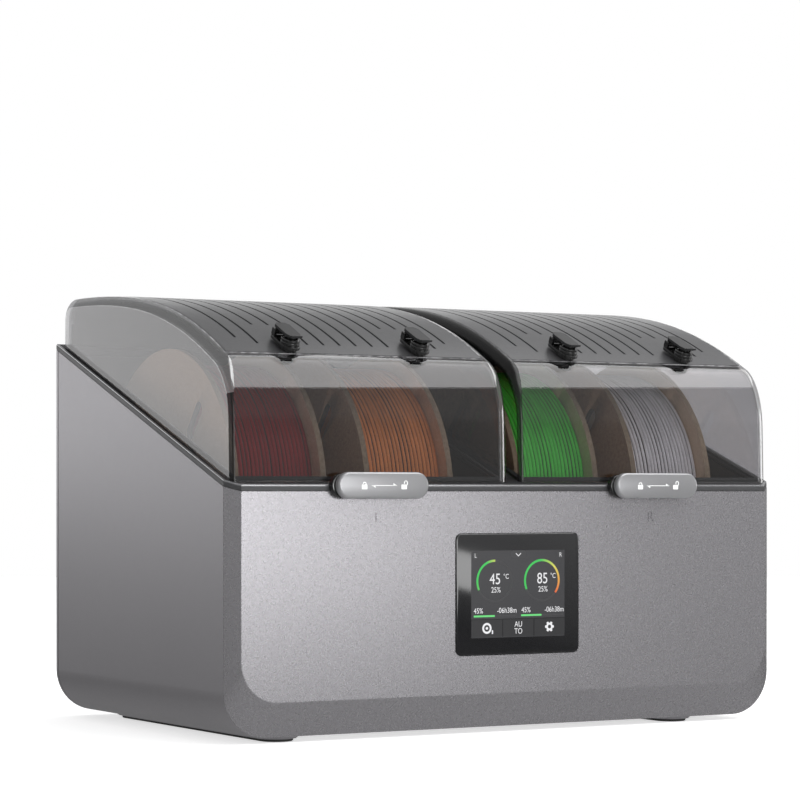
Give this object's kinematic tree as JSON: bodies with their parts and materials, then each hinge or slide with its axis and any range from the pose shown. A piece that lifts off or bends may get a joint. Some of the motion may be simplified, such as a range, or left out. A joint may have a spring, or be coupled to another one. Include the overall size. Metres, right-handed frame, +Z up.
{
  "type": "filament dryer box",
  "caption": "Heated dry box for 3D printing filament: side-by-side chambers, each with a hinged clear lid, ribbed cover, filament outlets, sliding latch, fan, heater and spools on rollers.",
  "frame": {"origin": "centre of the footprint, on the plane that the rubber feet stand on", "axes": "+X to the right along the front, +Y to the rear, +Z up"},
  "size_m": [0.427, 0.2905, 0.2951],
  "materials": {
    "body_paint": "satin metallic paint on moulded shells",
    "rim_trim": "dark satin",
    "clear_shell": "clear, lightly smoked, polished",
    "cover_plastic": "satin",
    "black_plastic": "gloss",
    "cap_plastic": "fine matte",
    "tub_plastic": "matte",
    "rubber": "matte",
    "latch_silver": "satin metallic",
    "display_glass": "black printed glass, gloss",
    "board": "solder mask",
    "steel": "satin",
    "aluminium": "extruded",
    "spool_card": "uncoated kraft board",
    "filament_red": "dark red thread, satin",
    "filament_orange": "brown-orange thread, satin",
    "filament_green": "green thread, satin",
    "filament_silver": "silver grey thread, satin"
  },
  "bodies": {
    "base": {"outer_shell": "body_paint", "front_bezel": "body_paint", "rear_panel": "body_paint", "rim_trim": "rim_trim", "display_glass": "display_glass", "display_module": "black_plastic", "control_board": "board", "power_supply": "steel", "power_inlet": "black_plastic", "switch_frame": "black_plastic", "foot_left": "rubber", "foot_right": "rubber", "tub_left": "tub_plastic", "seal_left": "rubber", "heater_left": "aluminium", "fan_frame_left": "black_plastic", "humidity_sensor_left": "black_plastic", "hinge_pin_left": "steel", "latch_base_left": "black_plastic", "tub_right": "tub_plastic", "seal_right": "rubber", "heater_right": "aluminium", "fan_frame_right": "black_plastic", "humidity_sensor_right": "black_plastic", "hinge_pin_right": "steel", "latch_base_right": "black_plastic"},
    "left_lid": {"lid_left": "clear_shell", "lid_cover_left": "cover_plastic", "outlet_collar_1": "black_plastic", "outlet_collar_2": "black_plastic"},
    "right_lid": {"lid_right": "clear_shell", "lid_cover_right": "cover_plastic", "outlet_collar_3": "black_plastic", "outlet_collar_4": "black_plastic"},
    "left_latch": {"latch_left": "latch_silver"},
    "right_latch": {"latch_right": "latch_silver"},
    "cap_1": {"outlet_cap_1": "cap_plastic"},
    "cap_2": {"outlet_cap_2": "cap_plastic"},
    "cap_3": {"outlet_cap_3": "cap_plastic"},
    "cap_4": {"outlet_cap_4": "cap_plastic"},
    "loaded_spool_1": {"spool_1": "spool_card", "filament_1": "filament_red"},
    "loaded_spool_2": {"spool_2": "spool_card", "filament_2": "filament_orange"},
    "loaded_spool_3": {"spool_3": "spool_card", "filament_3": "filament_green"},
    "loaded_spool_4": {"spool_4": "spool_card", "filament_4": "filament_silver"},
    "front_roller_1": {"roller_1_front": "steel"},
    "rear_roller_1": {"roller_1_rear": "steel"},
    "front_roller_2": {"roller_2_front": "steel"},
    "rear_roller_2": {"roller_2_rear": "steel"},
    "front_roller_3": {"roller_3_front": "steel"},
    "rear_roller_3": {"roller_3_rear": "steel"},
    "front_roller_4": {"roller_4_front": "steel"},
    "rear_roller_4": {"roller_4_rear": "steel"},
    "left_fan": {"fan_rotor_left": "black_plastic"},
    "right_fan": {"fan_rotor_right": "black_plastic"},
    "switch_rocker": {"power_switch": "black_plastic"}
  },
  "joints": [
    {"name": "left_lid_hinge", "type": "hinge", "parent": "base", "child": "left_lid", "pos_m": [-0.10725, 0.1413, 0.2626], "axis": [-1, 0, 0], "range_deg": [0, 85]},
    {"name": "right_lid_hinge", "type": "hinge", "parent": "base", "child": "right_lid", "pos_m": [0.10725, 0.1413, 0.2626], "axis": [-1, 0, 0], "range_deg": [0, 85]},
    {"name": "left_latch_slide", "type": "slide", "parent": "base", "child": "left_latch", "axis": [1, 0, 0], "range_m": [-0.008, 0]},
    {"name": "right_latch_slide", "type": "slide", "parent": "base", "child": "right_latch", "axis": [1, 0, 0], "range_m": [-0.008, 0]},
    {"name": "outlet_cap_1_flip", "type": "hinge", "parent": "left_lid", "child": "cap_1", "pos_m": [-0.15565, -0.09397, 0.26311], "axis": [-1, 0, 0], "range_deg": [0, 70]},
    {"name": "outlet_cap_2_flip", "type": "hinge", "parent": "left_lid", "child": "cap_2", "pos_m": [-0.05885, -0.09397, 0.26311], "axis": [-1, 0, 0], "range_deg": [0, 70]},
    {"name": "outlet_cap_3_flip", "type": "hinge", "parent": "right_lid", "child": "cap_3", "pos_m": [0.05885, -0.09397, 0.26311], "axis": [-1, 0, 0], "range_deg": [0, 70]},
    {"name": "outlet_cap_4_flip", "type": "hinge", "parent": "right_lid", "child": "cap_4", "pos_m": [0.15565, -0.09397, 0.26311], "axis": [-1, 0, 0], "range_deg": [0, 70]},
    {"name": "spool_1_spin", "type": "hinge", "parent": "base", "child": "loaded_spool_1", "pos_m": [-0.15565, 0.0053, 0.155], "axis": [1, 0, 0], "continuous": true},
    {"name": "spool_2_spin", "type": "hinge", "parent": "base", "child": "loaded_spool_2", "pos_m": [-0.05885, 0.0053, 0.155], "axis": [1, 0, 0], "continuous": true},
    {"name": "spool_3_spin", "type": "hinge", "parent": "base", "child": "loaded_spool_3", "pos_m": [0.05885, 0.0053, 0.155], "axis": [1, 0, 0], "continuous": true},
    {"name": "spool_4_spin", "type": "hinge", "parent": "base", "child": "loaded_spool_4", "pos_m": [0.15565, 0.0053, 0.155], "axis": [1, 0, 0], "continuous": true},
    {"name": "roller_1_front_spin", "type": "hinge", "parent": "base", "child": "front_roller_1", "pos_m": [-0.15565, -0.06367, 0.0728], "axis": [1, 0, 0], "continuous": true},
    {"name": "roller_1_rear_spin", "type": "hinge", "parent": "base", "child": "rear_roller_1", "pos_m": [-0.15565, 0.07427, 0.0728], "axis": [1, 0, 0], "continuous": true},
    {"name": "roller_2_front_spin", "type": "hinge", "parent": "base", "child": "front_roller_2", "pos_m": [-0.05885, -0.06367, 0.0728], "axis": [1, 0, 0], "continuous": true},
    {"name": "roller_2_rear_spin", "type": "hinge", "parent": "base", "child": "rear_roller_2", "pos_m": [-0.05885, 0.07427, 0.0728], "axis": [1, 0, 0], "continuous": true},
    {"name": "roller_3_front_spin", "type": "hinge", "parent": "base", "child": "front_roller_3", "pos_m": [0.05885, -0.06367, 0.0728], "axis": [1, 0, 0], "continuous": true},
    {"name": "roller_3_rear_spin", "type": "hinge", "parent": "base", "child": "rear_roller_3", "pos_m": [0.05885, 0.07427, 0.0728], "axis": [1, 0, 0], "continuous": true},
    {"name": "roller_4_front_spin", "type": "hinge", "parent": "base", "child": "front_roller_4", "pos_m": [0.15565, -0.06367, 0.0728], "axis": [1, 0, 0], "continuous": true},
    {"name": "roller_4_rear_spin", "type": "hinge", "parent": "base", "child": "rear_roller_4", "pos_m": [0.15565, 0.07427, 0.0728], "axis": [1, 0, 0], "continuous": true},
    {"name": "left_fan_spin", "type": "hinge", "parent": "base", "child": "left_fan", "pos_m": [-0.10725, 0.1237, 0.0446], "axis": [0, 1, 0], "continuous": true},
    {"name": "right_fan_spin", "type": "hinge", "parent": "base", "child": "right_fan", "pos_m": [0.10725, 0.1237, 0.0446], "axis": [0, 1, 0], "continuous": true},
    {"name": "power_switch_rock", "type": "hinge", "parent": "base", "child": "switch_rocker", "pos_m": [0.026, 0.1355, 0.0476], "axis": [-1, 0, 0], "range_deg": [0, 16]}
  ],
  "couplings": [
    {"joint": "roller_1_front_spin", "follows": "spool_1_spin", "ratio": -14.286},
    {"joint": "roller_1_rear_spin", "follows": "spool_1_spin", "ratio": -14.286},
    {"joint": "roller_2_front_spin", "follows": "spool_2_spin", "ratio": -14.286},
    {"joint": "roller_2_rear_spin", "follows": "spool_2_spin", "ratio": -14.286},
    {"joint": "roller_3_front_spin", "follows": "spool_3_spin", "ratio": -14.286},
    {"joint": "roller_3_rear_spin", "follows": "spool_3_spin", "ratio": -14.286},
    {"joint": "roller_4_front_spin", "follows": "spool_4_spin", "ratio": -14.286},
    {"joint": "roller_4_rear_spin", "follows": "spool_4_spin", "ratio": -14.286}
  ]
}
